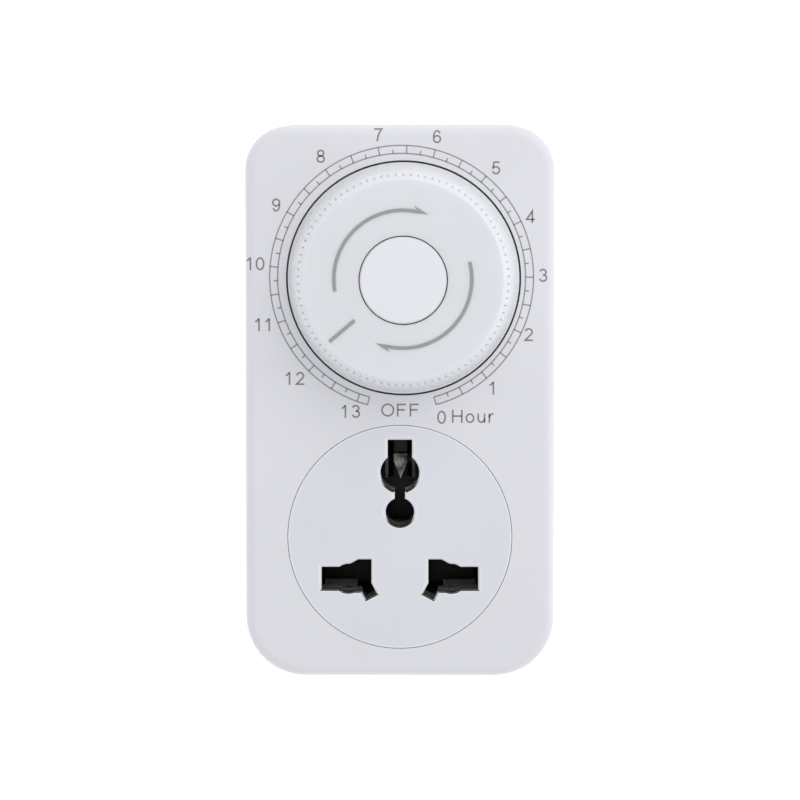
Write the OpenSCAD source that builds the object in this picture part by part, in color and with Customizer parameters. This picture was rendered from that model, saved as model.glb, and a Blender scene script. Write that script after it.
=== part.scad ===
// Plug-in countdown timer switch: a dial timer above a universal socket, on a three-pin plug.
// Everything is drawn lying on its back, x to the right and y up as seen from the front, and z out from
// the wall, and upright() then stands it up: +X right, +Z up, the wall towards +Y. Millimetres.
// The origin is on the wall face, midway between the line pin and the neutral pin.

/* [Body] */
// Width of the body
body_w = 58.3; // [57.7:0.1:62]
// Height of the body
body_h = 104; // [103.5:0.5:108]
// Depth of the body, from the wall face to the front face
body_d = 37; // [36.5:0.5:42]
// Height of the line and neutral pins above the bottom of the body
pin_line_h = 18.7; // [18.1:0.1:19.2]
// Radius of the two upper corners
top_corner_r = 8.3; // [7.5:0.1:9]
// Radius of the two lower corners
bottom_corner_r = 11.3; // [9.5:0.1:12]
// Rounding of the front edge
front_edge_r = 2; // [1:0.1:2.5]
// Rounding of the edge at the wall
back_edge_r = 1.2; // [0.6:0.1:1.5]
// Wall thickness of both shells
wall = 2.2; // [1.8:0.1:2.6]
// Depth of the rear shell
rear_d = 13; // [12:0.5:14]
// Height of the lip on the rear shell that laps into the front shell
lap_h = 1.7; // [1:0.1:2.2]
// Play round that lip
lap_gap = 0.1; // [0.05:0.01:0.2]
// Width and depth of the shadow line between the shells
seam = 0.4; // [0.2:0.05:0.6]

/* [Dial] */
// Sideways place of the dial's axis
dial_x = 0.7; // [0:0.1:1]
// Distance from the top of the body down to the dial's axis
dial_drop = 28.6; // [28.2:0.1:29]
// Radius of the well that the knob turns in
well_r = 22.1; // [21.8:0.05:22.6]
// Depth of the well below the front face
well_depth = 2.4; // [2:0.1:3]
// Thickness of the well's floor
well_floor = 2; // [1.6:0.1:2.4]
// Gap between the knob and the side of the well
knob_gap = 0.35; // [0.3:0.05:0.8]
// Gap between the knob and the floor of the well
knob_lift = 0.5; // [0.3:0.1:0.8]
// How far the knob stands proud of the front face
knob_h = 10.5; // [9.5:0.5:14]
// Radius of the knob's ribbed rim
rim_r = 19.8; // [19.5:0.05:20.4]
// Radius of the flat of the knob's face
face_r = 18.7; // [18:0.1:19]
// Height of the bevel between face and rim
bevel_h = 1.25; // [0.8:0.05:1.6]
// Number of ribs round the rim
rib_count = 90; // [60:1:100]
// Depth of the grooves between the ribs
rib_depth = 0.45; // [0.4:0.05:0.9]
// Height of the ribs
rib_h = 1.6; // [1.5:0.1:3]
// Wall thickness of the knob
knob_wall = 1.8; // [1.4:0.1:2.2]
// Radius of the cap in the knob's face
cap_r = 8.1; // [7.5:0.1:9]
// Gap round the cap
cap_gap = 0.2; // [0.15:0.01:0.3]
// Thickness of the cap
cap_t = 1.5; // [1.2:0.1:2]
// Outer radius of the knob's hub
hub_r = 5; // [4.5:0.1:6]
// Where the knob's pointer stands, in degrees clockwise from the top
pointer_deg = 229; // [200:1:340]

/* [Socket] */
// Height of the round insert's centre above the pins
socket_y = 7.8; // [7.6:0.1:8.1]
// Radius of the round opening for the insert
socket_r = 21.2; // [20.9:0.1:21.3]
// Gap round the insert
socket_gap = 0.1; // [0.08:0.01:0.25]
// How far the insert's flange reaches past the opening
flange_over = 1.4; // [1:0.1:1.6]
// Thickness of the insert's flange
flange_t = 1.2; // [1:0.1:1.6]
// Bevel round the mouths of the slots
slot_bevel = 0.3; // [0.1:0.05:0.4]
// Width of the wide slot of the line and neutral openings
slot_w = 7.4; // [7:0.1:7.8]
// Height of that slot
slot_h = 4.25; // [4.15:0.05:4.5]
// Distance of the round line and neutral holes from the centre
round_x = 9.75; // [9.4:0.05:9.9]
// Radius of the round holes
round_r = 2.7; // [2.5:0.05:2.9]
// Distance of the upright blade slots from the centre
blade_x = 6.55; // [6.35:0.05:6.7]
// Width of the upright and the slanted blade slots
blade_w = 2.35; // [2:0.05:2.5]
// Height of the upright blade slots above the pins' line
blade_h = 3.55; // [3.2:0.05:3.8]
// Depth of the step below the openings
step_h = 2.5; // [2.3:0.05:2.8]
// Length of the slanted blade slots
slant_len = 7.4; // [6.8:0.1:7.8]
// Lean of the slanted blade slots
slant_deg = 28; // [25:1:32]
// Distance of the slanted slots' middle from the centre
slant_x = 7.1; // [6.9:0.05:7.3]
// Width of the earth slot
earth_slot_w = 4.6; // [4.4:0.05:4.8]
// Top of the earth slot above the pins' line
earth_slot_top = 26.2; // [25.9:0.1:26.6]
// Height of the large round earth hole
earth_ring_y = 19.96; // [19.6:0.05:20.3]
// Radius of the large round earth hole
earth_ring_r = 3.67; // [3.4:0.05:3.8]
// Height of the small round earth hole
earth_hole_y = 12.5; // [12.2:0.05:12.8]
// Width of the neck between the two round earth holes
earth_neck = 1.95; // [1.7:0.05:2.2]

/* [Contacts] */
// Radius of the black carrier's front disc
carrier_disc_r = 21.6; // [21.2:0.1:21.8]
// Thickness of that disc
carrier_disc_t = 2; // [1.6:0.1:2.2]
// Depth of the carrier behind the insert, round the line and neutral contacts
carrier_d = 17.3; // [17.1:0.1:17.6]
// Depth of the earth contact's chamber behind the insert
earth_d = 22.2; // [22:0.1:22.5]
// Wall of the contact chambers
chamber_wall = 1.6; // [1.4:0.1:1.8]
// Thickness of the carrier's front over the chambers, which guides the pins
chamber_front = 6; // [4:0.5:7]
// Sheet thickness of the contacts
sheet = 0.6; // [0.5:0.05:0.7]
// Half of the gap between the leaves of a line or neutral contact
throat = 1.6; // [1.4:0.05:1.8]
// Half of the gap between the leaves of the earth contact
earth_throat = 1.3; // [1:0.05:1.5]
// How far the web between the earth contact's leaves lies below the earth pin's axis
web_drop = 0.5; // [0.3:0.1:0.7]
// Height of the shoulders that join this web to the leaves
shoulder_h = 1.6; // [1.2:0.1:2]
// Length of the web from its upper edge down to its point
web_len = 4.9; // [4:0.1:5.5]
// Length of the line contact's tail
line_tail = 5.3; // [5:0.1:5.6]
// Play of a contact's base between the walls of its chamber
lug_gap = 0.05; // [0.03:0.01:0.1]

/* [Plug] */
// Distance of the line and neutral pins from the centre
pin_x = 11.11; // [11:0.01:11.2]
// Height of the earth pin above the other two
earth_y = 22.23; // [22.1:0.01:22.4]
// Width of the line and neutral pins
pin_w = 6.35; // [6.2:0.05:6.5]
// Thickness of all three pins
pin_t = 3.97; // [3.9:0.01:4.05]
// Length of the line and neutral pins in front of the wall face
pin_len = 17.7; // [17.2:0.1:18.2]
// Width of the earth pin, measured upwards
earth_w = 7.95; // [7.8:0.05:8.05]
// Length of the earth pin in front of the wall face
earth_len = 22.73; // [22.2:0.1:23.2]
// Length of the sleeves on the line and neutral pins
sleeve_len = 9.5; // [9:0.1:10]
// Thickness of the sleeves
sleeve_t = 0.55; // [0.4:0.05:0.7]
// Bevel at the tips of the pins
tip_bevel = 0.9; // [0.5:0.1:1.1]
// Thickness of the carrier that holds the pins
pin_carrier_t = 4.4; // [4:0.1:5]
// Thickness of the collars on the pins
collar_t = 1.6; // [1.2:0.1:1.9]
// How far the collars reach past the pins
collar_over = 1.3; // [1:0.1:1.5]

/* [Drive] */
// Size of the gear teeth, as pitch diameter over number of teeth
gear_module = 0.5; // [0.48:0.01:0.5]
// Teeth of the dial gear
dial_teeth = 48; // [42:6:48]
// Teeth of the idler's wheel
wheel_teeth = 36; // [30:3:36]
// Teeth of the idler's pinion and of the motor pinion
pinion_teeth = 12; // [12:1:12]
// Play between the teeth, measured along the pitch circle
backlash = 0.05; // [0.03:0.01:0.08]
// Direction from the dial's axis to the idler
idler_deg = 60; // [55:1:65]
// Direction from the idler to the motor pinion
pinion_deg = 195; // [192:1:198]
// Face width of the dial gear's teeth
dial_gear_t = 2.6; // [2.2:0.1:2.8]
// Depth of the dial gear's rim, which holds the ratchet teeth
rim_d = 5.2; // [5:0.1:5.6]
// Thickness of the dial gear's web
web_t = 1.4; // [1.2:0.1:1.8]
// Number of ratchet teeth
ratchet_teeth = 24; // [18:6:24]
// Inner radius of the ratchet teeth
ratchet_r = 9.6; // [9.4:0.1:9.8]
// Depth of the ratchet teeth
ratchet_depth = 0.8; // [0.5:0.05:0.9]
// Thickness of the pawl piece
pawl_t = 2.6; // [2:0.1:2.8]
// Thickness of its spring arms
arm_t = 0.9; // [0.6:0.05:1.1]
// Thickness of the idler's wheel and of the motor pinion's band
wheel_t = 1.8; // [1.5:0.1:2]
// Radius of the dial spindle's journal
journal_r = 2.5; // [2.3:0.05:2.6]
// Radius of the keyed length of the dial spindle
key_r = 3; // [2.9:0.05:3.2]
// Half of the width across the key's flats
key_flat = 2.6; // [2.55:0.05:2.7]
// Radius of the spindle's collar, which turns in the well's floor
collar_r = 4; // [3.8:0.1:4.4]
// Radius of the idler's arbor and of the motor shaft
arbor_r = 1; // [0.8:0.05:1.1]
// Radius of the post in the front housing that steadies the idler's arbor
idler_post_r = 2; // [1.7:0.1:2]
// Radial running clearance
run_fit = 0.05; // [0.03:0.01:0.08]
// Endwise play between the layers of the movement
play = 0.4; // [0.3:0.05:0.5]

/* [Switch cam] */
// Radius of the cam
cam_r = 12.8; // [12.6:0.1:13]
// Thickness of the cam
cam_t = 2.8; // [2.4:0.1:3]
// Depth of the cam's OFF notch
notch_depth = 2; // [1.5:0.1:2.4]
// Where the pointer stands when the switch opens, in degrees clockwise from the top
off_deg = 163; // [160:1:168]
// Where the pointer stands when the switch closes again
on_deg = 196; // [190:1:200]
// Length of the ramp that lifts the lever out of the notch, in degrees
ramp_deg = 14; // [10:1:16]

/* [Motor] */
// Radius of the motor
motor_r = 17; // [15:0.5:17.5]
// Depth of the motor's can
can_d = 9; // [8:0.5:9.5]
// Depth of the gearbox on the motor
gearbox_d = 5; // [4:0.5:5.5]
// Distance of the output shaft from the motor's middle
shaft_off = 9.5; // [8.5:0.5:11]
// Direction from the output shaft to the motor's middle
shaft_deg = -75; // [-80:1:-70]
// Distance of the fixing ears from the motor's middle
ear_x = 20.5; // [20:0.1:21]
// Thickness of the ears
ear_t = 1.4; // [1:0.1:2]

/* [Microswitch] */
// Length of the microswitch case
case_l = 19.8; // [19:0.1:20.2]
// Height of the case
case_h = 10.2; // [9.6:0.1:10.4]
// Thickness of the case
case_t = 6.4; // [6:0.1:6.4]
// Gap between the case and the side wall
case_gap = 1.2; // [0.8:0.1:1.4]
// Gap between the case and the level of the lever's pivot
case_drop = 1.1; // [0.9:0.1:1.3]
// Distance between the fixing holes
hole_gap = 9.5; // [9:0.1:10]
// Radius of the fixing holes
hole_r = 1.18; // [1:0.02:1.3]
// Thickness of the lever
lever_t = 0.4; // [0.3:0.05:0.5]
// Width of the lever
lever_w = 4; // [3.4:0.1:4.2]
// Radius of the lever's rolled nose
nose_r = 0.9; // [0.7:0.05:1]
// Radius of the lever's pin
lever_pin_r = 0.6; // [0.5:0.05:0.7]
// Radius of the plunger
plunger_r = 1; // [0.8:0.05:1.2]
// Distance from the lever's pivot to the plunger
plunger_x = 6.9; // [6.5:0.1:7.5]

/* [Fasteners] */
// Distance from the outside of a corner to the axis of its housing screw
screw_in = 4.7; // [4.5:0.1:5]
// Radius of the screw bosses
boss_r = 3; // [2.8:0.1:3.3]
// Radius of the housing screws
screw_r = 1.45; // [1.3:0.05:1.6]
// Radius of the housing screws' heads
screw_head_r = 2.7; // [2.5:0.1:2.8]
// Thickness of all screw heads
head_t = 1.6; // [1.2:0.1:1.8]
// Depth of the recesses for the housing screws' heads
recess_d = 8; // [7:0.5:9]
// Radius of the small screws inside
small_r = 1.2; // [1:0.05:1.3]
// Radius of the small screws' heads
small_head_r = 2.3; // [2:0.1:2.5]
// Play round the shank of every screw
screw_gap = 0.05; // [0.03:0.01:0.1]

/* [Leads] */
// Radius of the mains leads inside
lead_r = 0.9; // [0.7:0.1:1]
// Radius of the motor's leads
thin_r = 0.55; // [0.4:0.05:0.6]

/* [Hidden] */
$fn = 96;
eps = 0.01;
corners = [[1, 1], [-1, 1], [-1, -1], [1, -1]];
sides = [1, -1];
body_bottom = -pin_line_h;
body_top = body_h - pin_line_h;
dial_y = body_top - dial_drop;

// Levels in front of the wall face, from the front face back
front = body_d;
well_top = front - well_depth;
well_back = well_top - well_floor;
front_in = front - wall;
cam_top = well_back - play;
cam_bottom = cam_top - cam_t;
rim_top = cam_bottom - play;
gear_bottom = rim_top - rim_d;
web_top = gear_bottom + web_t;
clip_t = 0.5;
clip_bottom = web_top + 0.3;
key_end = clip_bottom + clip_t;
pawl_bottom = key_end + 0.2;
wheel_top = gear_bottom - play;
wheel_bottom = wheel_top - wheel_t;
plate_t = 2.2;
plate_top = wheel_bottom - play;
plate_bottom = plate_top - plate_t;
idler_top = gear_bottom + dial_gear_t - 0.2;
insert_back = front_in - flange_t;
carrier_back = insert_back - carrier_d;
earth_back = insert_back - earth_d;
chamber_top = insert_back - chamber_front;

// Plays that screws' heads, the pins and pressed-in arbors have
head_play = 0.2;
pin_gap = 0.1;
press_gap = 0.02;

// Levels from the wall face forward
floor_t = wall + 0.2;
collar_top = floor_t + collar_t;
pin_carrier_top = floor_t + pin_carrier_t;
tail_top = pin_carrier_top + 1.6;
lug_t = 1.6;
lug_r = 2.6;
leg_x = [9, 14.5];

// The gear train
function pitch_r(n) = gear_module * n / 2;
function polar(r, a) = [r * cos(a), r * sin(a)];
dial_at = [dial_x, dial_y];
idler_at = dial_at + polar(pitch_r(dial_teeth + pinion_teeth), idler_deg);
pinion_at = idler_at + polar(pitch_r(wheel_teeth + pinion_teeth), pinion_deg);
motor_at = pinion_at + polar(shaft_off, shaft_deg);
big_addendum = 0.84 * gear_module;
pinion_addendum = gear_module;
dedendum = 1.32 * gear_module;
pressure = 20;
coil_block_w = 12;
coil_block_out = 1.4;

// The knob
base_r = well_r - knob_gap;
knob_bottom = well_top + knob_lift;
knob_top = front + knob_h;
pocket_floor = knob_top - cap_t;
pocket_r = cap_r + cap_gap;
spoke_w = 1.2;
seat_r = 3;
snap_h = 0.9;
key_gap = 0.05;
head_seat = pocket_floor - head_t - 0.1;
spindle_end = head_seat - 1.6;
spindle_collar_top = front - 1;
hub_bottom = spindle_collar_top + 0.1;
clip_groove_r = 2.1;
clip_out_r = 4.2;

// The microswitch, from the cam's lower edge down
contact_gap = 0.05;
nose_at = [dial_x, dial_y - cam_r - contact_gap - nose_r];
case_right = body_w / 2 - wall - case_gap;
pivot_r = 1.2;
pivot_at = [case_right - pivot_r, nose_at[1] - 1.05];
case_top = pivot_at[1] - case_drop;
case_at = [case_right - case_l, case_top - case_h];
case_front = well_back - 0.1;
case_back = case_front - case_t;
ear_w = 0.8;
lever_front = case_front - 1.1;
lever_back = lever_front - lever_w;
tab_w = 2.8;
tab_t = 0.5;
tab_l = 3.6;
tab_x = [2.2, 9.9, 17.6];
tab_z = case_back + case_t / 2;
terminal_x = [for (x = tab_x) case_at[0] + x];
terminal_end = case_at[1] - tab_l;
lead_side = body_w / 2 - wall - lead_r;
peg_at = [for (s = [-1, 1]) [case_at[0] + case_l / 2 + s * hole_gap / 2, case_at[1] + 3]];
lever_rise = nose_at[1] - pivot_at[1];
plunger_at = pivot_at[0] - plunger_x;
lever_y = pivot_at[1] + lever_rise * plunger_x / (pivot_at[0] - nose_at[0]);

// Screws and posts
function corner_r(c) = c[1] > 0 ? top_corner_r : bottom_corner_r;
function boss_at(c) = let (r = corner_r(c), d = (r - screw_in) / sqrt(2))
    [c[0] * (body_w / 2 - r + d), c[1] > 0 ? body_top - r + d : body_bottom + r - d];
post_r = 2.8;
ear_post_r = 3;
ear_r = ear_post_r + 0.2;
frame_boss_r = 4.2;
peg_foot_r = 2.4;
window_x = 12;
window_r = 4;
post_x = body_w / 2 - wall - post_r + 0.3;
post_y = [dial_y - 10.2, dial_y + 15.3];
boss_top = rear_d + lap_h;
insert_screws = [for (s = sides) [s * 14.5, socket_y + 11.6]];
insert_boss_r = 2.3;
carrier_screw_x = 19.8;
carrier_screw_y = 14;
carrier_screws_at = [for (s = sides) [s * carrier_screw_x, carrier_screw_y]];

// The chambers for the contacts
pin_chamber_x = [3.8, 15.4];
pin_chamber_h = 4.4;
earth_chamber_w = 4.6;
earth_chamber_y = [8.6, 27.4];
block_half = pin_chamber_x[1] + chamber_wall;
block_h = pin_chamber_h + chamber_wall;
earth_half = earth_chamber_w + chamber_wall;
earth_block_top = earth_chamber_y[1] + chamber_wall;
base_lift = 2.3;
leaf_base = carrier_back + base_lift;
earth_base = earth_back + base_lift;
leaf_mouth = chamber_top - 0.6;
leaf_len = [8.2, 14.4];
lug_w = 4;
earth_leaf_y = [earth_y - 4, earth_y + 3.6];
web_edge = earth_y - web_drop;
tail_w = 3;
tail_t = 0.8;
stem_w = tail_w + 1.2;
stem_t = 2.4;
collar_room = collar_over + pin_gap;
pad_gap = 0.2;
pad_lap = 1;

// ---------- shared shapes ----------

module upright() rotate([90, 0, 0]) children();

module mirrored(s) mirror([s < 0 ? 1 : 0, 0, 0]) children();

// The body's outline, drawn in by an inset on every side
module outline(inset = 0) {
    half = body_w / 2 - inset;
    rt = top_corner_r - inset;
    rb = bottom_corner_r - inset;
    low = body_bottom + inset;
    high = body_top - inset;
    polygon([[-half, low + rb], [rb - half, low], [half - rb, low], [half, low + rb],
        [half, high - rt], [half - rt, high], [rt - half, high], [-half, high - rt]]);
    for (c = corners) translate(corner_at(c)) circle(r = corner_r(c) - inset);
}

function corner_at(c) = [c[0] * (body_w / 2 - corner_r(c)),
    c[1] > 0 ? body_top - top_corner_r : body_bottom + bottom_corner_r];

// A block with the body's outline, whose edge at the far end is rounded
module soft_block(d, edge) {
    linear_extrude(d - edge) outline(0);
    linear_extrude(d) outline(edge);
    for (c = corners) translate([each corner_at(c), d - edge]) rotate_extrude() {
        square([corner_r(c) - edge, edge]);
        translate([corner_r(c) - edge, 0]) intersection() {
            circle(r = edge);
            square(edge);
        }
    }
    for (s = sides) {
        edge_rod([s * (body_w / 2 - edge), body_bottom + bottom_corner_r],
            [s * (body_w / 2 - edge), body_top - top_corner_r], d, edge);
    }
    edge_rod([bottom_corner_r - body_w / 2, body_bottom + edge],
        [body_w / 2 - bottom_corner_r, body_bottom + edge], d, edge);
    edge_rod([top_corner_r - body_w / 2, body_top - edge],
        [body_w / 2 - top_corner_r, body_top - edge], d, edge);
}

module edge_rod(a, b, d, edge) rod([each a, d - edge], [each b, d - edge], edge);

// A round bar from point a to point b
module rod(a, b, r) {
    v = b - a;
    len = norm(v);
    translate(a) rotate([0, acos(v[2] / len), atan2(v[1], v[0])]) cylinder(r = r, h = len);
}

function unit(v) = v / norm(v);

// Half of a strip's thickness at one of its points, square to it, or along the mitre at a bend
function strip_side(points, i, t) = let (
    before = unit(points[max(i, 1)] - points[max(i, 1) - 1]),
    after = unit(points[min(i + 1, len(points) - 1)] - points[min(i, len(points) - 2)]),
    n = [-before[1] - after[1], before[0] + after[0]])
    n * t / (n * n);

// A flat strip bent along a row of points, drawn in the plane
module strip(points, t) {
    last = len(points) - 1;
    polygon([for (i = [0 : last]) points[i] - strip_side(points, i, t),
        for (i = [last : -1 : 0]) points[i] + strip_side(points, i, t)]);
}

// A sector of a ring between two angles
module ring_sector(r1, r2, a1, a2, h) {
    far = r2 * 1.5;
    intersection() {
        difference() {
            cylinder(r = r2, h = h);
            translate([0, 0, -1]) cylinder(r = r1, h = h + 2);
        }
        linear_extrude(h) polygon([[0, 0], polar(far, a1), polar(far, (a1 + a2) / 2), polar(far, a2)]);
    }
}

// A block whose top end is bevelled on all four sides, centred in x and y
module bevelled_block(w, h, d, bevel) intersection() {
    translate([0, h / 2, 0]) rotate([90, 0, 0]) linear_extrude(h)
        polygon([[-w / 2, 0], [w / 2, 0], [w / 2, d - bevel], [w / 2 - bevel, d], [bevel - w / 2, d],
            [-w / 2, d - bevel]]);
    translate([w / 2, 0, 0]) rotate([90, 0, -90]) linear_extrude(w)
        polygon([[-h / 2, 0], [h / 2, 0], [h / 2, d - bevel], [h / 2 - bevel, d], [bevel - h / 2, d],
            [-h / 2, d - bevel]]);
}

// A screw with its head below z = 0 and its shank up to z = length
module screw(r, head_r, length) {
    difference() {
        translate([0, 0, -head_t]) cylinder(r = head_r, h = head_t);
        for (a = [0, 90]) rotate(a) translate([0, 0, -head_t]) cube([head_r * 1.3, 0.6, 1.4], center = true);
    }
    cylinder(r = r, h = length - r);
    translate([0, 0, length - r]) cylinder(r1 = r, r2 = r / 3, h = r);
}

// The keyed section of the dial spindle
module key_shape(extra = 0) intersection() {
    circle(r = key_r + extra);
    square([2 * (key_flat + extra), 4 * key_r], center = true);
}

// ---------- gear teeth ----------

function involute_deg(r, base) = let (a = acos(min(1, base / r))) tan(a) * 180 / PI - a;

// Half of a tooth's angle at radius r
function half_tooth(r, n) = let (rp = pitch_r(n), base = rp * cos(pressure))
    90 / n + involute_deg(rp, base) - involute_deg(max(r, base), base) - backlash / rp * 90 / PI;

function tooth_radii(n, addendum) = let (rp = pitch_r(n), base = rp * cos(pressure))
    [rp - dedendum, max(rp - dedendum + eps, base), rp, rp + addendum];

module gear_shape(n, addendum) {
    radii = tooth_radii(n, addendum);
    polygon([for (i = [0 : n - 1]) for (k = [0 : 7])
        let (r = k < 4 ? radii[k] : radii[7 - k], side = k < 4 ? -1 : 1)
        polar(r, 360 * i / n + side * half_tooth(r, n))]);
}

// ---------- the slots of the socket ----------

// One rectangular opening, from level z1 up to z2, with bevelled mouth
module slot_cut(size, z1, z2, bevel) {
    translate([0, 0, z1]) linear_extrude(z2 - z1 + 1) square(size, center = true);
    if (bevel > 0) translate([0, 0, z2 + bevel]) mirror([0, 0, 1])
        bevelled_block(size[0] + 4 * bevel, size[1] + 4 * bevel, 2 * bevel, 2 * bevel - eps);
}

// One round opening with bevelled mouth
module round_cut(r, z1, z2, bevel) {
    translate([0, 0, z1]) cylinder(r = r, h = z2 - z1 + 1);
    if (bevel > 0) translate([0, 0, z2 - bevel]) cylinder(r1 = r, r2 = r + 2 * bevel, h = 2 * bevel);
}

// The openings for a line or neutral pin, on the right-hand side
module pin_openings(z1, z2, bevel) {
    translate([pin_x, 0, 0]) slot_cut([slot_w, slot_h], z1, z2, bevel);
    translate([round_x, 0, 0]) round_cut(round_r, z1, z2, bevel);
    blade_top = blade_h;
    translate([blade_x, (blade_top - step_h) / 2, 0])
        slot_cut([blade_w, blade_top + step_h], z1, z2, bevel);
    step_out = round_x + round_r * 0.4;
    step_in = blade_x + blade_w / 4;
    translate([(step_out + step_in) / 2, -step_h / 2, 0])
        slot_cut([step_out - step_in, step_h], z1, z2, bevel);
    translate([slant_x, -0.25, 0]) rotate(-slant_deg) slot_cut([blade_w, slant_len], z1, z2, bevel);
}

// The openings for an earth pin
module earth_openings(z1, z2, bevel) {
    slot_len = earth_slot_top - earth_ring_y;
    translate([0, earth_ring_y + slot_len / 2, 0]) slot_cut([earth_slot_w, slot_len], z1, z2, bevel);
    translate([0, earth_ring_y, 0]) round_cut(earth_ring_r, z1, z2, bevel);
    translate([0, (earth_ring_y + earth_hole_y) / 2, 0])
        slot_cut([earth_neck, earth_ring_y - earth_hole_y], z1, z2, bevel);
    translate([0, earth_hole_y, 0]) round_cut(round_r, z1, z2, bevel);
}

module socket_openings(z1, z2, bevel) {
    for (s = sides) mirrored(s) pin_openings(z1, z2, bevel);
    earth_openings(z1, z2, bevel);
}

// ---------- the shells ----------

module front_housing() color("white") upright() difference() {
    union() {
        difference() {
            translate([0, 0, rear_d]) soft_block(front - rear_d, front_edge_r);
            translate([0, 0, rear_d - 1]) linear_extrude(front_in - rear_d + 1) outline(wall);
        }
        translate([each dial_at, well_back]) cylinder(r = well_r + wall, h = front_in - well_back + eps);
        socket_collar();
        for (c = corners) translate([each boss_at(c), boss_top + 0.1])
            cylinder(r = boss_r, h = front_in - boss_top);
        for (s = sides, y = post_y) translate([s * post_x, y, plate_top])
            cylinder(r = post_r, h = front_in - plate_top + eps);
        translate([each idler_at, idler_top + play]) cylinder(r = idler_post_r, h = well_back - idler_top);
    }
    translate([0, 0, rear_d - 1]) linear_extrude(1 + lap_h) outline(wall / 2);
    translate([each dial_at, well_top]) cylinder(r = well_r, h = well_depth + 1);
    translate([each dial_at, well_back - 1]) cylinder(r = collar_r + run_fit, h = well_floor + 2);
    translate([0, socket_y, front_in - 1]) cylinder(r = socket_r, h = wall + 2);
    for (c = corners) translate([each boss_at(c), boss_top]) cylinder(r = screw_r + screw_gap, h = 14);
    for (s = sides, y = post_y) translate([s * post_x, y, plate_top - 1])
        cylinder(r = small_r + screw_gap, h = 10);
    translate([each idler_at, idler_top + play - 1]) cylinder(r = arbor_r + press_gap, h = 3.5);
}

// The collar that centres the flange of the socket insert
module socket_collar() translate([0, socket_y, well_back]) difference() {
    cylinder(r = socket_r + flange_over + 1.2, h = front_in - well_back + eps);
    translate([0, 0, -1]) cylinder(r = socket_r + flange_over + 0.1, h = front_in - well_back + 1);
}

module rear_housing() color("white") upright() difference() {
    union() {
        difference() {
            translate([0, 0, rear_d]) mirror([0, 0, 1]) soft_block(rear_d, back_edge_r);
            translate([0, 0, floor_t]) linear_extrude(rear_d) outline(wall);
            translate([0, 0, rear_d - seam]) linear_extrude(seam + 1) difference() {
                outline(-1);
                outline(seam);
            }
        }
        translate([0, 0, rear_d - 1]) linear_extrude(1 + lap_h) difference() {
            outline(wall / 2 + lap_gap);
            outline(wall);
        }
        for (c = corners) translate([each boss_at(c), floor_t - eps])
            cylinder(r = boss_r, h = boss_top - floor_t);
        for (p = carrier_screws_at) translate([each p, floor_t - eps])
            cylinder(r = lug_r, h = pin_carrier_top - lug_t - floor_t + eps);
    }
    for (c = corners) translate([each boss_at(c), -1]) {
        cylinder(r = screw_head_r + head_play, h = recess_d + 1);
        cylinder(r = screw_r + screw_gap, h = boss_top + 2);
    }
    for (p = carrier_screws_at) translate([each p, wall / 2])
        cylinder(r = small_r + screw_gap, h = pin_carrier_top);
    for (s = sides) translate([s * pin_x, 0, -1]) linear_extrude(floor_t + 2)
        square([pin_w + 2 * pin_gap, pin_t + 2 * pin_gap], center = true);
    translate([0, earth_y, -1]) linear_extrude(floor_t + 2)
        square([pin_t + 2 * pin_gap, earth_w + 2 * pin_gap], center = true);
}

module housing_screws() color("silver") upright()
    for (c = corners) translate([each boss_at(c), recess_d]) screw(screw_r, screw_head_r, 18);

// ---------- the knob and what turns with it ----------

// The ribbed outline of the knob's rim
module ribbed_outline() {
    step = 360 / rib_count;
    polygon([for (i = [0 : rib_count - 1]) each [
        polar(rim_r + 0.4, step * (i - 0.3)), polar(rim_r + 0.4, step * (i + 0.3)),
        polar(rim_r - rib_depth, step * (i + 0.42)), polar(rim_r - rib_depth, step * (i + 0.58))]]);
}

module knob() color("white") upright() translate([each dial_at, 0]) difference() {
    union() {
        intersection() {
            translate([0, 0, knob_top - rib_h]) linear_extrude(rib_h) ribbed_outline();
            rotate_extrude() polygon([[0, knob_top - rib_h - 1], [rim_r + 0.3, knob_top - rib_h - 1],
                [rim_r, knob_top - bevel_h], [face_r, knob_top], [0, knob_top]]);
        }
        rotate_extrude() polygon([[0, knob_bottom], [base_r, knob_bottom], [base_r, front + 0.4],
            [base_r - 0.3, front + 0.7], [rim_r + 0.25, knob_top - rib_h - 0.2],
            [rim_r + 0.1, knob_top - rib_h + eps], [0, knob_top - rib_h + eps]]);
    }
    difference() {
        rotate_extrude() polygon([[0, knob_bottom - 1], [base_r - knob_wall, knob_bottom - 1],
            [base_r - knob_wall, front], [rim_r - knob_wall - 0.4, knob_top - rib_h - 0.7],
            [pocket_r + 1, knob_top - rib_h - 0.7], [pocket_r + 1, pocket_floor - knob_wall],
            [0, pocket_floor - knob_wall]]);
        translate([0, 0, hub_bottom]) cylinder(r = hub_r, h = knob_h);
        for (a = [0 : 60 : 300]) rotate(a) translate([0, -spoke_w / 2, front + 0.5])
            cube([base_r, spoke_w, knob_h]);
    }
    translate([0, 0, pocket_floor]) cylinder(r = pocket_r, h = cap_t + 1);
    translate([0, 0, head_seat]) cylinder(r = seat_r, h = head_t + 1);
    translate([0, 0, spindle_end]) cylinder(r = small_r + screw_gap, h = 4);
    translate([0, 0, knob_bottom - 1]) linear_extrude(spindle_end + 0.1 - knob_bottom + 1)
        key_shape(key_gap);
}

module knob_cap() color("white") upright() translate([each dial_at, pocket_floor]) {
    rotate_extrude() polygon([[0, 0], [cap_r, 0], [cap_r, cap_t - 0.25], [cap_r - 0.25, cap_t], [0, cap_t]]);
    // the short sleeve that snaps into the screw's recess
    translate([0, 0, -snap_h]) difference() {
        cylinder(r = seat_r - 0.05, h = snap_h + 0.1);
        translate([0, 0, -1]) cylinder(r = seat_r - 0.6, h = snap_h + 1);
    }
}

module knob_screw() color("silver") upright() translate([each dial_at, head_seat]) mirror([0, 0, 1])
    screw(small_r, small_head_r, 8);

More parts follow.
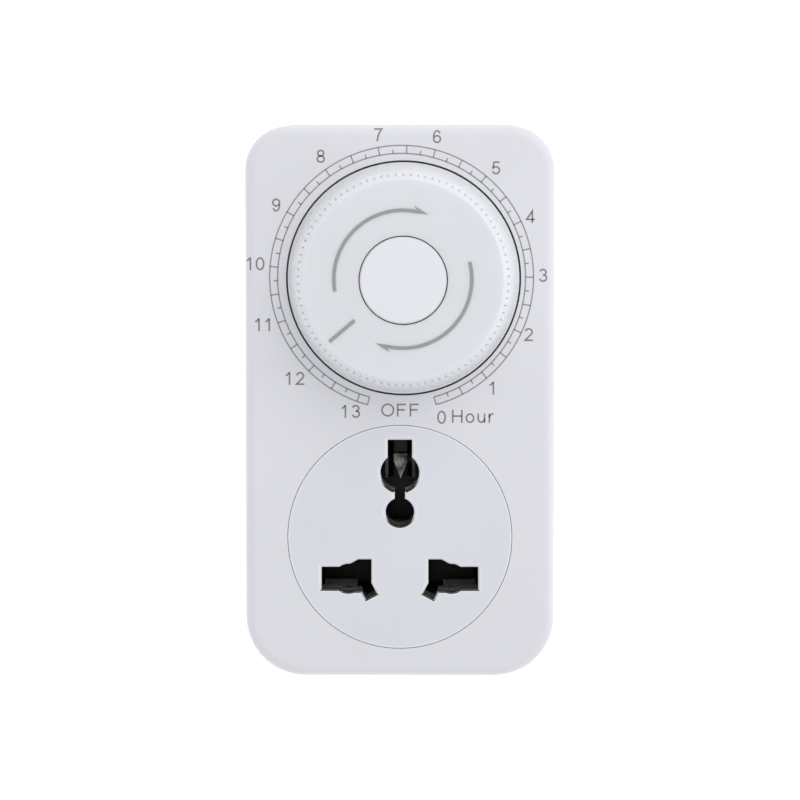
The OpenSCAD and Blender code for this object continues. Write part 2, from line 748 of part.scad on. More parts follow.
module dial_spindle() color("gainsboro") upright() translate([each dial_at, 0]) difference() {
    union() {
        translate([0, 0, spindle_collar_top - eps]) linear_extrude(spindle_end - spindle_collar_top)
            key_shape();
        translate([0, 0, cam_top + 0.05]) cylinder(r = collar_r, h = spindle_collar_top - cam_top - 0.05);
        translate([0, 0, key_end]) linear_extrude(cam_top + 0.1 - key_end) key_shape();
        translate([0, 0, clip_bottom - eps]) cylinder(r = clip_groove_r, h = clip_t + 2 * eps);
        translate([0, 0, plate_bottom + 0.2]) cylinder(r = journal_r, h = clip_bottom - plate_bottom - 0.2);
    }
    translate([0, 0, spindle_end - 8]) cylinder(r = small_r + screw_gap, h = 10);
}

module spindle_clip() color("silver") upright() translate([each dial_at, clip_bottom]) difference() {
    cylinder(r = clip_out_r, h = clip_t);
    translate([0, 0, -1]) cylinder(r = clip_groove_r, h = clip_t + 2);
    translate([0, -1.2, -1]) cube([clip_out_r + 1, 2.4, clip_t + 2]);
}

// The cam is round, apart from the OFF notch that the lever's nose drops into
module switch_cam() color("ivory") upright() translate([each dial_at, cam_bottom]) {
    // The notch runs from steep, where the switch opens, to ramp, where the nose is back on the rim
    steep = 90 - (180 + pointer_deg - off_deg);
    ramp = 90 - (180 + pointer_deg - on_deg);
    low = cam_r - notch_depth;
    difference() {
        cylinder(r = cam_r, h = cam_t);
        translate([0, 0, -1]) {
            linear_extrude(cam_t + 2) key_shape(key_gap);
            ring_sector(low, cam_r + 1, steep, ramp - ramp_deg, cam_t + 2);
            linear_extrude(cam_t + 2) polygon([polar(low, ramp - ramp_deg - 0.5),
                polar(cam_r + 1.2, ramp - ramp_deg - 0.5), polar(cam_r + 1.2, ramp),
                polar(cam_r, ramp), polar(low, ramp - ramp_deg)]);
            for (a = [30 : 60 : 330]) rotate(a) translate([(low + hub_r) / 2, 0, 0])
                cylinder(r = 1.6, h = cam_t + 2);
        }
    }
}

// Where the steep face of a ratchet tooth stands, in degrees, seen from the front
function ratchet_face(i) = 360 * i / ratchet_teeth;

// Three spring arms push against the steep faces one way and slip over the teeth the other way
module ratchet_pawls() color("orange") upright() translate([each dial_at, pawl_bottom]) {
    valley = ratchet_r + ratchet_depth;
    arm_r = ratchet_r - 1.75;
    difference() {
        union() {
            cylinder(r = hub_r + 0.2, h = pawl_t);
            for (i = [0 : 2]) rotate(ratchet_face(i * ratchet_teeth / 3)) linear_extrude(pawl_t) {
                strip([polar(hub_r - 0.5, -68), for (a = [-66 : 5 : -1]) polar(arm_r, a)], arm_t);
                polygon([polar(arm_r, -6), polar(valley - 0.45, -5), polar(valley - 0.2, -1),
                    polar(arm_r, -2)]);
            }
        }
        translate([0, 0, -1]) linear_extrude(pawl_t + 2) key_shape(key_gap);
    }
}

// ---------- the gear train ----------

module dial_gear() color("ivory") upright() translate([each dial_at, gear_bottom]) difference() {
    union() {
        rotate(idler_deg) linear_extrude(dial_gear_t) gear_shape(dial_teeth, big_addendum);
        cylinder(r = pitch_r(dial_teeth) - dedendum - 0.1, h = rim_d);
    }
    translate([0, 0, web_t]) linear_extrude(rim_d) polygon([for (i = [0 : ratchet_teeth - 1]) each [
        polar(ratchet_r, ratchet_face(i)), polar(ratchet_r + ratchet_depth, ratchet_face(i + 1) - 0.6)]]);
    translate([0, 0, -1]) cylinder(r = journal_r + run_fit, h = rim_d);
}

module idler_gear() color("ivory") upright() translate([each idler_at, 0]) difference() {
    union() {
        translate([0, 0, wheel_bottom]) rotate(pinion_deg) linear_extrude(wheel_t)
            gear_shape(wheel_teeth, big_addendum);
        translate([0, 0, wheel_top - eps]) rotate(idler_deg + 180 + 180 / pinion_teeth)
            linear_extrude(idler_top - wheel_top + eps) gear_shape(pinion_teeth, pinion_addendum);
    }
    translate([0, 0, wheel_bottom - 1]) cylinder(r = arbor_r + run_fit, h = idler_top);
    for (a = [0 : 72 : 288]) rotate(a)
        translate([(pitch_r(wheel_teeth) - dedendum + pitch_r(pinion_teeth)) / 2, 0, wheel_bottom - 1])
            cylinder(r = 1.1, h = wheel_t + 2);
}

module idler_arbor() color("silver") upright()
    translate([each idler_at, plate_bottom + 0.3]) cylinder(r = arbor_r, h = idler_top + 2.4 - plate_bottom);

module motor_pinion() color("silver") upright() translate([each pinion_at, 0]) {
    translate([0, 0, plate_bottom - 2]) cylinder(r = arbor_r, h = wheel_bottom - plate_bottom + 2);
    translate([0, 0, wheel_bottom - 0.2]) rotate(pinion_deg + 180 + 180 / pinion_teeth)
        linear_extrude(wheel_t + 0.4) gear_shape(pinion_teeth, pinion_addendum);
}

// ---------- the frame of the movement ----------

module timer_frame() color("lightgray") upright() difference() {
    union() {
        translate([0, 0, plate_bottom]) linear_extrude(plate_t) frame_outline();
        translate([each dial_at, plate_bottom])
            cylinder(r = frame_boss_r, h = gear_bottom - 0.2 - plate_bottom);
        for (s = sides) translate([motor_at[0] + s * ear_x, motor_at[1], plate_bottom])
            cylinder(r = ear_post_r, h = plate_t + 2.8);
        for (p = peg_at) translate([each p, plate_bottom]) {
            cylinder(r = peg_foot_r, h = case_back - plate_bottom);
            cylinder(r = hole_r - run_fit, h = case_front - 0.6 - plate_bottom);
        }
    }
    translate([each dial_at, plate_bottom - 1]) cylinder(r = journal_r + run_fit, h = 8);
    translate([each idler_at, plate_bottom - 1]) cylinder(r = arbor_r + press_gap, h = plate_t + 2);
    translate([each pinion_at, plate_bottom - 1])
        cylinder(r = pitch_r(pinion_teeth) + pinion_addendum + 0.7, h = plate_t + 2);
    for (s = sides) translate([motor_at[0] + s * ear_x, motor_at[1], plate_bottom - 1])
        cylinder(r = small_r + screw_gap, h = plate_t + 3.4);
    for (s = sides, y = post_y) translate([s * post_x, y, plate_bottom - 1])
        cylinder(r = small_r + screw_gap, h = plate_t + 2);
}

module frame_outline() {
    half = body_w / 2 - wall - 0.5;
    low = case_at[1] + 0.3;
    high = post_y[1] + 3.4;
    r = 3;
    difference() {
        union() {
            translate([-half, low + r]) square([2 * half, high - low - 2 * r]);
            translate([r - half, low]) square([2 * (half - r), high - low]);
            for (s = sides, y = [low + r, high - r]) translate([s * (half - r), y]) circle(r = r);
        }
        for (s = sides) translate([s * window_x, dial_y + 1]) circle(r = window_r);
    }
}

module frame_screws() color("silver") upright()
    for (s = sides, y = post_y) translate([s * post_x, y, plate_bottom]) screw(small_r, small_head_r, 9);

module motor_can() color("silver") upright() translate([each motor_at, plate_bottom - gearbox_d - can_d]) {
    can_r = motor_r - 0.6;
    rotate_extrude() polygon([[0, 0], [can_r - 0.6, 0], [can_r, 0.4], [can_r, can_d], [0, can_d]]);
    // the block that the coil's leads come out of
    translate([-coil_block_w / 2, -motor_r - coil_block_out, 2]) cube([coil_block_w, 6, can_d - 3]);
}

module motor_gearbox() color("whitesmoke") upright()
    translate([each motor_at, plate_bottom - gearbox_d]) difference() {
        union() {
            cylinder(r = motor_r, h = gearbox_d);
            for (s = sides) {
                translate([s * ear_x, 0, gearbox_d - ear_t]) cylinder(r = ear_r, h = ear_t);
                translate([s * ear_x / 2, 0, gearbox_d - ear_t / 2])
                    cube([ear_x, 2 * ear_r, ear_t], center = true);
            }
            translate([each (pinion_at - motor_at), 0]) cylinder(r = 2.5, h = gearbox_d + plate_t - 0.2);
        }
        translate([each (pinion_at - motor_at), gearbox_d - 2.5])
            cylinder(r = arbor_r + run_fit, h = 8);
        for (s = sides) translate([s * ear_x, 0, -1]) cylinder(r = small_r + screw_gap, h = gearbox_d + 2);
    }

module motor_screws() color("silver") upright()
    for (s = sides) translate([motor_at[0] + s * ear_x, motor_at[1], plate_bottom - ear_t])
        screw(small_r, small_head_r, ear_t + plate_t + 2);

// ---------- the microswitch ----------

module microswitch_case() color("dimgray") upright() difference() {
    union() {
        translate([each case_at, case_back]) cube([case_l, case_h, case_t]);
        for (z = [lever_back - 0.1 - ear_w, lever_front + 0.1]) {
            translate([pivot_at[0] - pivot_r, case_top - eps, z]) cube([2 * pivot_r, case_drop + eps, ear_w]);
            translate([each pivot_at, z]) cylinder(r = pivot_r, h = ear_w);
        }
    }
    translate([each pivot_at, case_back - 1]) cylinder(r = lever_pin_r + press_gap, h = case_t + 2);
    for (p = peg_at) translate([each p, case_back - 1]) cylinder(r = hole_r, h = case_t + 2);
    translate([plunger_at, case_top - 2.5, tab_z]) rotate([-90, 0, 0])
        cylinder(r = plunger_r + run_fit, h = 4);
}

module switch_terminals() color("gold") upright()
    for (x = terminal_x) translate([x - tab_w / 2, terminal_end, tab_z - tab_t / 2])
        cube([tab_w, tab_l, tab_t]);

module switch_plunger() color("firebrick") upright()
    translate([plunger_at, case_top - 2, tab_z]) rotate([-90, 0, 0])
        cylinder(r = plunger_r, h = lever_y - lever_t / 2 - 0.1 - case_top + 2);

module switch_lever() color("silver") upright() translate([0, 0, lever_back]) difference() {
    linear_extrude(lever_w) {
        strip([pivot_at, nose_at], lever_t);
        translate(nose_at) circle(r = nose_r);
        translate(pivot_at) circle(r = pivot_r - 0.2);
    }
    translate([each pivot_at, -1]) cylinder(r = lever_pin_r + run_fit, h = lever_w + 2);
}

module lever_pin() color("silver") upright()
    translate([each pivot_at, lever_back - 0.1 - ear_w])
        cylinder(r = lever_pin_r, h = lever_w + 0.2 + 2 * ear_w);

// ---------- the socket ----------

module socket_face() color("white") upright() difference() {
    union() {
        translate([0, socket_y, insert_back]) {
            cylinder(r = socket_r - socket_gap, h = front - insert_back);
            cylinder(r = socket_r + flange_over, h = flange_t);
        }
        for (p = insert_screws) translate([each p, insert_back - carrier_disc_t])
            cylinder(r = insert_boss_r, h = carrier_disc_t + eps);
    }
    socket_openings(insert_back - 1, front, slot_bevel);
    for (p = insert_screws) translate([each p, insert_back - carrier_disc_t - 1])
        cylinder(r = small_r + screw_gap, h = carrier_disc_t + 3);
}

module socket_insulator() color("black") upright() difference() {
    union() {
        translate([0, socket_y, insert_back - carrier_disc_t])
            cylinder(r = carrier_disc_r, h = carrier_disc_t);
        chamber_block();
    }
    socket_openings(chamber_top - 1, insert_back + 1, 0);
    for (s = sides) mirrored(s) translate([pin_chamber_x[0], -pin_chamber_h, carrier_back - 1])
        cube([pin_chamber_x[1] - pin_chamber_x[0], 2 * pin_chamber_h, chamber_top - carrier_back + 1]);
    translate([-earth_chamber_w, earth_chamber_y[0], earth_back - 1])
        cube([2 * earth_chamber_w, earth_chamber_y[1] - earth_chamber_y[0], chamber_top - earth_back + 1]);
    for (p = insert_screws) translate([each p, insert_back - carrier_disc_t - 1])
        cylinder(r = insert_boss_r + 0.1, h = carrier_disc_t + 2);
}

// The three chambers that the contacts stand in, of which the earth contact's reaches further back
module chamber_block() {
    translate([-block_half, -block_h, carrier_back])
        cube([2 * block_half, 2 * block_h, insert_back - eps - carrier_back]);
    translate([-earth_half, 0, carrier_back])
        cube([2 * earth_half, earth_block_top, insert_back - eps - carrier_back]);
    translate([-earth_half, earth_chamber_y[0] - chamber_wall, earth_back])
        cube([2 * earth_half, earth_block_top - earth_chamber_y[0] + chamber_wall,
            carrier_back - earth_back + eps]);
}

module insulator_screws() color("silver") upright()
    for (p = insert_screws) translate([each p, insert_back - carrier_disc_t]) screw(small_r, 2.7, 3.6);

// The points of a contact's right-hand leaf, from its base through its neck to its open mouth
function leaf_points(base, open, neck, span) = let (rise = leaf_mouth - base)
    [[span, base], [span, base + 0.3 * rise], [neck + sheet / 2, base + 0.62 * rise], [open, leaf_mouth]];

// A spring contact: two leaves on a base, drawn across x = 0 in the plane
module fork(base, open, neck, span) {
    right = leaf_points(base, open, neck, span);
    strip([for (i = [3 : -1 : 0]) [-right[i][0], right[i][1]], each right], sheet);
}

// The right-hand contact, as far as its base, with the extra leaf for the upright blades
module pin_contact() {
    translate([leaf_len[0], 0, 0]) rotate([90, 0, 90]) linear_extrude(leaf_len[1] - leaf_len[0])
        fork(leaf_base, throat + 1.3, throat, throat + 1.1);
    translate([0, 2.5, 0]) rotate([90, 0, 0]) linear_extrude(5)
        strip([[4.5, leaf_mouth], [5.2, leaf_mouth - 3.2], [4.9, leaf_base + 3.5], [4.9, leaf_base],
            [leaf_len[0] + 0.4, leaf_base]], sheet);
    base_lugs();
}

// The lugs of a contact's base, which wedge between the walls of a chamber
module base_lugs() translate([pin_x - lug_w / 2, lug_gap - pin_chamber_h, leaf_base - sheet / 2])
    cube([lug_w, 2 * (pin_chamber_h - lug_gap), sheet]);

// The tail of a contact, from a level up to its base
module contact_tail(low, base) translate([-tail_w / 2, -tail_t / 2, low])
    cube([tail_w, tail_t, base - low]);

module line_contact() color("goldenrod") upright() {
    pin_contact();
    translate([pin_x, 0, 0]) contact_tail(leaf_base - line_tail, leaf_base);
}

module neutral_contact() color("goldenrod") upright() mirror([1, 0, 0]) {
    pin_contact();
    translate([pin_x, 0, 0]) contact_tail(tail_top, leaf_base);
}

module earth_contact() color("goldenrod") upright() {
    difference() {
        for (s = sides) mirrored(s) translate([0, earth_leaf_y[1], 0]) rotate([90, 0, 0])
            linear_extrude(earth_leaf_y[1] - earth_leaf_y[0])
                strip(leaf_points(earth_base, earth_throat + 1.3, earth_throat, earth_throat + 1), sheet);
        // the leaves taper to their lower front corners
        translate([-5, earth_y - 5, leaf_mouth - 4.5]) rotate([38, 0, 0]) mirror([0, 1, 0]) cube([10, 6, 9]);
    }
    translate([0, 0, earth_base - sheet / 2]) linear_extrude(sheet) earth_web();
    translate([0, web_edge - tail_w / 2, 0]) rotate(90) contact_tail(tail_top, earth_base);
}

// The web that joins the two leaves and wedges between the chamber's walls, pointed at its lower end
module earth_web() {
    wide = earth_chamber_w - lug_gap;
    low = web_edge - shoulder_h;
    polygon([[-wide, web_edge], [-wide, low], [-earth_throat, low], [0, web_edge - web_len],
        [earth_throat, low], [wide, low], [wide, web_edge]]);
}

// ---------- the plug ----------

module pin_carrier() color("black") upright() difference() {
    union() {
        translate([0, 0, floor_t]) linear_extrude(pin_carrier_t) {
            translate([-block_half, -block_h]) square([2 * block_half, 2 * block_h]);
            translate([-earth_half, 0]) square([2 * earth_half, earth_block_top]);
        }
        translate([0, 0, pin_carrier_top - lug_t]) linear_extrude(lug_t) {
            translate([-carrier_screw_x, carrier_screw_y - lug_r])
                square([2 * carrier_screw_x, 2 * lug_r]);
            for (p = carrier_screws_at) translate(p) circle(r = lug_r);
        }
        // the pad that closes the back of the earth chamber, over the end of the pin
        translate([pad_gap - earth_chamber_w, web_edge + pad_gap, pin_carrier_top - eps])
            cube([2 * (earth_chamber_w - pad_gap), earth_chamber_y[1] - web_edge - 2 * pad_gap,
                earth_back + pad_lap - pin_carrier_top]);
        for (s = sides, y = [-block_h, pin_chamber_h]) mirrored(s)
            translate([leg_x[0], y, pin_carrier_top - eps])
                cube([leg_x[1] - leg_x[0], chamber_wall, carrier_back - pin_carrier_top + eps]);
    }
    for (s = sides) translate([s * pin_x, 0, 0]) {
        translate([0, 0, floor_t - 1]) linear_extrude(collar_t + 1)
            square([pin_w + 2 * collar_room, pin_t + 2 * collar_room], center = true);
        linear_extrude(pin_carrier_top + 1)
            square([stem_w + 2 * pin_gap, stem_t + 2 * pin_gap], center = true);
    }
    translate([0, earth_y, 0]) {
        translate([0, 0, floor_t - 1]) linear_extrude(collar_t + 1)
            square([pin_t + 2 * collar_room, earth_w + 2 * collar_room], center = true);
        linear_extrude(tail_top + pin_gap)
            square([stem_t + 2 * pin_gap, stem_w + 2 * pin_gap], center = true);
    }
    for (p = carrier_screws_at) translate([each p, 0]) cylinder(r = small_r + screw_gap, h = 10);
}

module carrier_screws() color("silver") upright()
    for (p = carrier_screws_at) translate([each p, pin_carrier_top]) mirror([0, 0, 1])
        screw(small_r, small_head_r, 5.2);

// A flat pin with its tip at -length, a collar inside the housing and a tail up to the contact
module flat_pin(w, t, length) {
    mirror([0, 0, 1]) bevelled_block(w, t, length, tip_bevel);
    linear_extrude(floor_t + eps) square([w, t], center = true);
    translate([0, 0, floor_t]) linear_extrude(collar_t)
        square([w + 2 * collar_over, t + 2 * collar_over], center = true);
    translate([0, 0, collar_top - eps]) linear_extrude(tail_top - collar_top + eps)
        square([stem_w, stem_t], center = true);
}

module sleeved_pin() difference() {
    flat_pin(pin_w, pin_t, pin_len);
    sleeve_shape(0);
}

module sleeve_shape(extra) translate([0, 0, -sleeve_len]) linear_extrude(sleeve_len + 1.5) difference() {
    square([pin_w + extra, pin_t + extra], center = true);
    square([pin_w - 2 * sleeve_t, pin_t - 2 * sleeve_t], center = true);
}

module line_pin() color("goldenrod") upright() translate([pin_x, 0, 0]) sleeved_pin();

module neutral_pin() color("goldenrod") upright() translate([-pin_x, 0, 0]) sleeved_pin();

module earth_pin() color("goldenrod") upright() translate([0, earth_y, 0]) rotate(90)
    flat_pin(earth_w, pin_t, earth_len);

module pin_sleeves() color("black") upright()
    for (s = sides) translate([s * pin_x, 0, 0]) sleeve_shape(0);

// ---------- the leads ----------

// One pass that cuts the corners of a route, so that it bends gently
function softened(p) = [p[0], for (i = [0 : len(p) - 2])
    each [0.75 * p[i] + 0.25 * p[i + 1], 0.25 * p[i] + 0.75 * p[i + 1]], p[len(p) - 1]];

// A round lead swept along a route
module lead(route, r) {
    path = softened(softened(route));
    n = len(path);
    sides = 10;
    function ring(i) = let (t = unit(path[min(i + 1, n - 1)] - path[max(i - 1, 0)]),
        u = unit(cross([1, 0.2, 0.1], t)), v = cross(t, u))
        [for (k = [0 : sides - 1]) path[i] + r * (cos(360 * k / sides) * u + sin(360 * k / sides) * v)];
    points = [for (i = [0 : n - 1]) each ring(i)];
    walls = [for (i = [0 : n - 2], k = [0 : sides - 1])
        let (a = i * sides + k, b = i * sides + (k + 1) % sides)
        each [[a, a + sides, b], [b, a + sides, b + sides]]];
    polyhedron(points, [[for (k = [0 : sides - 1]) k], each walls,
        [for (k = [sides - 1 : -1 : 0]) (n - 1) * sides + k]]);
}

// Both mains leads climb between the contact chambers and the side wall, to the ends of two terminals
module line_lead() color("saddlebrown") upright() lead([[pin_x, 0, tail_top + lead_r],
    [block_half + 1, 2, tail_top + 1.6], [lead_side - 3, 12, rear_d + 1], [lead_side - 2, 20, tab_z - 7],
    [terminal_x[2], terminal_end - lead_r, tab_z]], lead_r);

module switched_lead() color("firebrick") upright()
    lead([[pin_x, 0, leaf_base - line_tail - lead_r], [block_half + 2, 3, leaf_base - line_tail - lead_r],
        [block_half + 3.5, 14, rear_d + 4], [block_half + 1, 22, tab_z - 5],
        [terminal_x[1], terminal_end - lead_r, tab_z]], lead_r);

// One motor lead goes down to the neutral contact and the other to the switched terminal
module motor_leads() color("steelblue") upright() {
    start_y = motor_at[1] - motor_r - coil_block_out - thin_r;
    start_z = plate_bottom - gearbox_d - 2;
    lead([[motor_at[0] - 4, start_y, start_z], [-earth_half - 6, earth_block_top + 3, start_z - 1],
        [-block_half - 1, 18, start_z], [-block_half - 1, 6, start_z + 1],
        [-pin_x - tail_w / 2 - thin_r, 0, leaf_base - line_tail + 0.7]], thin_r);
    lead([[motor_at[0] + 4, start_y, start_z], [earth_half + 2.8, earth_block_top + 6, start_z + 2],
        [earth_half + 6.8, terminal_end + 1, tab_z - 9],
        [terminal_x[1], terminal_end + tab_l / 2, tab_z - tab_t / 2 - thin_r]], thin_r);
}

front_housing();
rear_housing();
housing_screws();
knob();
knob_cap();
knob_screw();
dial_spindle();
spindle_clip();
switch_cam();
ratchet_pawls();
dial_gear();
idler_gear();
idler_arbor();
timer_frame();
frame_screws();
motor_can();
motor_gearbox();
motor_pinion();
motor_screws();
microswitch_case();
switch_terminals();
switch_plunger();
switch_lever();
lever_pin();
socket_face();
socket_insulator();
insulator_screws();
line_contact();
neutral_contact();
earth_contact();
pin_carrier();
carrier_screws();
line_pin();
neutral_pin();
earth_pin();
pin_sleeves();
line_lead();
switched_lead();
motor_leads();
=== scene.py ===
"""A plug-in timer switch: materials, printed scale, lettering, studio light and camera."""

import math

import bpy
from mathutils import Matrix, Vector
from mathutils.bvhtree import BVHTree


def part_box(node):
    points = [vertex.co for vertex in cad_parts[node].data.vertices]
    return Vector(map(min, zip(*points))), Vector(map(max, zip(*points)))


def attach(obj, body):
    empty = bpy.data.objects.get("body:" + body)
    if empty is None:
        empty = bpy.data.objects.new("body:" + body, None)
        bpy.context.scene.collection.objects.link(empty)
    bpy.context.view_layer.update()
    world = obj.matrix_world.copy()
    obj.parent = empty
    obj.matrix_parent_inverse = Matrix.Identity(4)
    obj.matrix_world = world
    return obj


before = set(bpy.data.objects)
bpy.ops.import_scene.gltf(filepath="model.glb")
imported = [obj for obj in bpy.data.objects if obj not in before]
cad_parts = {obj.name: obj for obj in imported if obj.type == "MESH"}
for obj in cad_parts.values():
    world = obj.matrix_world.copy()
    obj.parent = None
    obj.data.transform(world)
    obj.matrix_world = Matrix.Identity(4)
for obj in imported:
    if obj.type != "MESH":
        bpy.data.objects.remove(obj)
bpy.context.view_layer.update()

MM = 0.001

# ---------- places and sizes, in metres ----------

HOUSING_LOW, HOUSING_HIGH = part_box("front_housing")
KNOB_LOW, KNOB_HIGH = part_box("knob")
FRONT_FACE = HOUSING_LOW.y
DIAL_X = (KNOB_LOW.x + KNOB_HIGH.x) / 2
DIAL_Z = (KNOB_LOW.z + KNOB_HIGH.z) / 2
SOCKET_LOW, SOCKET_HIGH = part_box("socket_face")
SOCKET_X = (SOCKET_LOW.x + SOCKET_HIGH.x) / 2
SOCKET_Z = (SOCKET_LOW.z + SOCKET_HIGH.z) / 2
BODY_MIDDLE = (HOUSING_LOW + HOUSING_HIGH) / 2

OPENINGS = 19 * MM  # the openings lie within this of the socket's middle

INK = 0.02 * MM  # thickness of the printing
EDGE = 2 * MM  # radius of the housing's front edge
LINE = 0.235 * MM  # width of the scale's lines
SCALE_INK, LETTER_INK, MARK_INK = (0.3, 0.3, 0.315), (0.24, 0.24, 0.25), (0.35, 0.35, 0.36)

# ---------- the camera, the floor and the light ----------

CAMERA_DISTANCE = 0.8
CAMERA_HEIGHT_DEG = 4.0
CAMERA_SIDE_DEG = 0.4  # how far it stands to the right
FRAME_WIDTH = 150.66 * MM  # what the picture spans at the front face
SENSOR = 36.0  # width of the camera's sensor, in millimetres
CLIP = (0.05, 20)
AIM = Vector((BODY_MIDDLE.x + 0.03 * MM, FRONT_FACE, BODY_MIDDLE.z + 0.43 * MM))


def add_camera():
    data = bpy.data.cameras.new("camera")
    data.sensor_width = SENSOR
    data.lens = SENSOR * CAMERA_DISTANCE / FRAME_WIDTH
    data.clip_start, data.clip_end = CLIP
    camera = bpy.data.objects.new("camera", data)
    bpy.context.scene.collection.objects.link(camera)
    tilt = math.radians(CAMERA_HEIGHT_DEG)
    side = math.radians(CAMERA_SIDE_DEG)
    away = Vector((math.sin(side) * math.cos(tilt), -math.cos(side) * math.cos(tilt), math.sin(tilt)))
    camera.location = AIM + CAMERA_DISTANCE * away
    camera.rotation_euler = (math.radians(90) - tilt, 0, side)
    bpy.context.scene.camera = camera


def only_seen(thing):
    """Lets the camera see a piece of the studio that neither lights nor colours the object."""
    thing.visible_diffuse = False
    thing.visible_glossy = False
    thing.visible_transmission = False
    thing.visible_shadow = False


def add_mesh(name, verts, faces, material):
    mesh = bpy.data.meshes.new(name)
    mesh.from_pydata(verts, [], faces)
    mesh.materials.append(material)
    thing = bpy.data.objects.new(name, mesh)
    bpy.context.scene.collection.objects.link(thing)
    return thing


def add_lamp(name, place, power):
    """A square white lamp that looks at the middle of the front."""
    data = bpy.data.lights.new(name, "AREA")
    data.shape = "RECTANGLE"
    data.size = data.size_y = LAMP_SIZE
    data.energy = power
    light = bpy.data.objects.new(name, data)
    bpy.context.scene.collection.objects.link(light)
    light.location = place
    light.rotation_euler = (AIM - Vector(place)).to_track_quat("-Z", "Y").to_euler()


ROOM = 2.6  # half of the studio's width
ROOM_HEIGHT = 2.6
FLOOR_GLOW, WALL_GLOW = 0.75, 1.0
LAMP_SIZE = 0.5
LAMPS = [("key", (0.22, -0.42, 0.42), 0.98), ("side", (1.2, -0.35, -0.1), 0.95)]  # name, place, power


def add_studio():
    """A white floor and white walls all round, with light from the sky and two large weak lamps."""
    low, high = HOUSING_LOW.z, HOUSING_LOW.z + ROOM_HEIGHT
    ring = [(-ROOM, -ROOM), (ROOM, -ROOM), (ROOM, ROOM), (-ROOM, ROOM)]
    floor = add_mesh("floor", [(x, y, low) for x, y in ring], [(0, 1, 2, 3)],
                     paper_material("paper", FLOOR_GLOW))
    walls = add_mesh("walls", [(x, y, z) for z in (low, high) for x, y in ring],
                     [(0, 4, 5, 1), (1, 5, 6, 2), (2, 6, 7, 3), (3, 7, 4, 0), (4, 7, 6, 5)],
                     paper_material("wall_paper", WALL_GLOW))
    only_seen(floor)
    only_seen(walls)
    for lamp in LAMPS:
        add_lamp(*lamp)
    add_world()
    bpy.context.scene.view_settings.view_transform = "Standard"


WORLD_COLOR = (0.97, 0.98, 1.0, 1)
WORLD_LEVEL = 0.745  # strength of the sky in front of the object and straight behind it
WORLD_BAND = 0.75  # how much stronger it is in a band round behind the object
BAND_RISE, BAND_FALL = (0.0, 0.35), (0.5, 0.9)  # where the band starts and ends, as a direction's Y
WORLD_TOP = -0.08  # what is added to it straight overhead


def add_world():
    """An even white sky with a brighter band round behind the object, so that its rounded edges shine."""
    world = bpy.data.worlds.new("studio")
    bpy.context.scene.world = world
    world.use_nodes = True
    tree = world.node_tree
    background = tree.nodes["Background"]
    background.inputs["Color"].default_value = WORLD_COLOR
    direction = tree.nodes.new("ShaderNodeSeparateXYZ")
    tree.links.new(tree.nodes.new("ShaderNodeTexCoord").outputs["Generated"], direction.inputs["Vector"])

    def fade(start, end, low, high):
        """From low to high as the direction's Y goes from start to end."""
        node = tree.nodes.new("ShaderNodeMapRange")
        for name, value in {"From Min": start, "From Max": end, "To Min": low, "To Max": high}.items():
            node.inputs[name].default_value = value
        tree.links.new(direction.outputs["Y"], node.inputs["Value"])
        return node.outputs["Result"]

    def combine(operation, a, b, c=None):
        node = tree.nodes.new("ShaderNodeMath")
        node.operation = operation
        for socket, value in zip(node.inputs, (a, b, c)):
            if isinstance(value, float):
                socket.default_value = value
            elif value:
                tree.links.new(value, socket)
        return node.outputs[0]

    band = combine("MINIMUM", fade(*BAND_RISE, 0.0, 1.0), fade(*BAND_FALL, 1.0, 0.0))
    level = combine("MULTIPLY_ADD", band, WORLD_BAND, WORLD_LEVEL)
    strength = combine("MULTIPLY_ADD", direction.outputs["Z"], WORLD_TOP, level)
    tree.links.new(strength, background.inputs["Strength"])


# ---------- materials ----------


